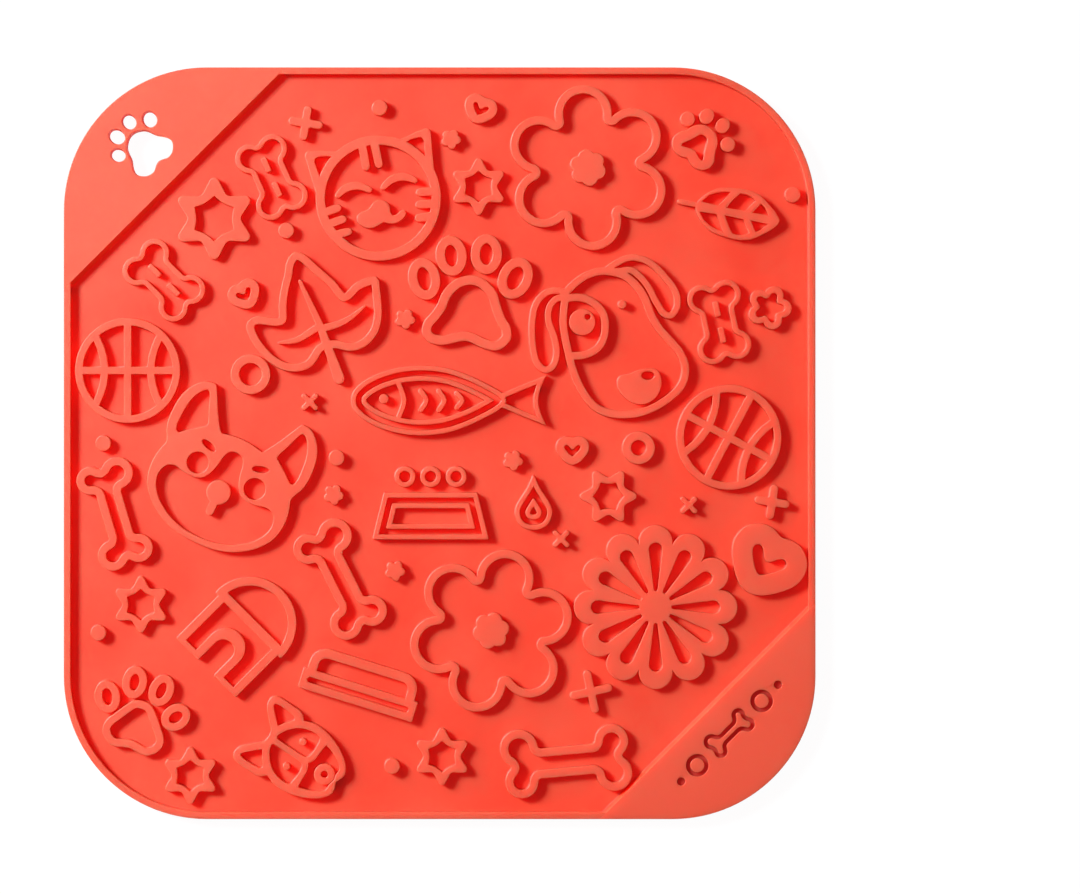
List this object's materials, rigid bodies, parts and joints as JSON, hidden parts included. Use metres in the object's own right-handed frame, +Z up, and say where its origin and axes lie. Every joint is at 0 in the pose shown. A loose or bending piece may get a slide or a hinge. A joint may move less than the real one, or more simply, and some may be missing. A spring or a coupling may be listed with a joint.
{
  "type": "lick mat",
  "caption": "Square silicone lick mat with rounded corners, a raised rim, two raised corner plates, a paw shaped hanging hole and raised pet motifs that hold soft food.",
  "frame": {"origin": "middle of the flat underside", "axes": "+Z up from the table to the licked face, +X to the right and +Y to the top edge, with the hanging hole in the upper left corner"},
  "size_m": [0.2, 0.2, 0.0045],
  "materials": {
    "coral_silicone": "satin moulded silicone"
  },
  "bodies": {
    "root": {"base_sheet": "coral_silicone", "rim_upper_right": "coral_silicone", "rim_lower_left": "coral_silicone", "hang_corner": "coral_silicone", "corner_panel": "coral_silicone", "ball_left": "coral_silicone", "ball_right": "coral_silicone", "flower_top": "coral_silicone", "flower_bottom": "coral_silicone", "blossom_top": "coral_silicone", "blossom_bottom": "coral_silicone", "daisy": "coral_silicone", "small_flower": "coral_silicone", "cat_outline": "coral_silicone", "cat_features": "coral_silicone", "dog_outline": "coral_silicone", "dog_features": "coral_silicone", "corgi_face": "coral_silicone", "corgi_nose": "coral_silicone", "calico_face": "coral_silicone", "calico_dots": "coral_silicone", "dog_house": "coral_silicone", "pet_bed": "coral_silicone", "bone_left": "coral_silicone", "bone_middle": "coral_silicone", "bone_lower": "coral_silicone", "biscuit_top": "coral_silicone", "biscuit_left": "coral_silicone", "biscuit_right": "coral_silicone", "leaf_lobed": "coral_silicone", "leaf_veined": "coral_silicone", "paw_large_pad": "coral_silicone", "paw_large_toes": "coral_silicone", "paw_lower_pad": "coral_silicone", "paw_lower_toes": "coral_silicone", "paw_small_pad": "coral_silicone", "paw_small_toes": "coral_silicone", "heart_top": "coral_silicone", "heart_left": "coral_silicone", "heart_middle": "coral_silicone", "heart_large": "coral_silicone", "star_large": "coral_silicone", "star_top": "coral_silicone", "star_middle": "coral_silicone", "star_left": "coral_silicone", "star_lower": "coral_silicone", "star_bottom": "coral_silicone", "ring_left": "coral_silicone", "ring_right": "coral_silicone", "plus_top": "coral_silicone", "plus_right": "coral_silicone", "plus_lower": "coral_silicone", "small_crosses": "coral_silicone", "round_studs": "coral_silicone", "blossom_studs": "coral_silicone", "centre_fish": "coral_silicone", "centre_bowl": "coral_silicone", "centre_drop": "coral_silicone"}
  },
  "joints": []
}
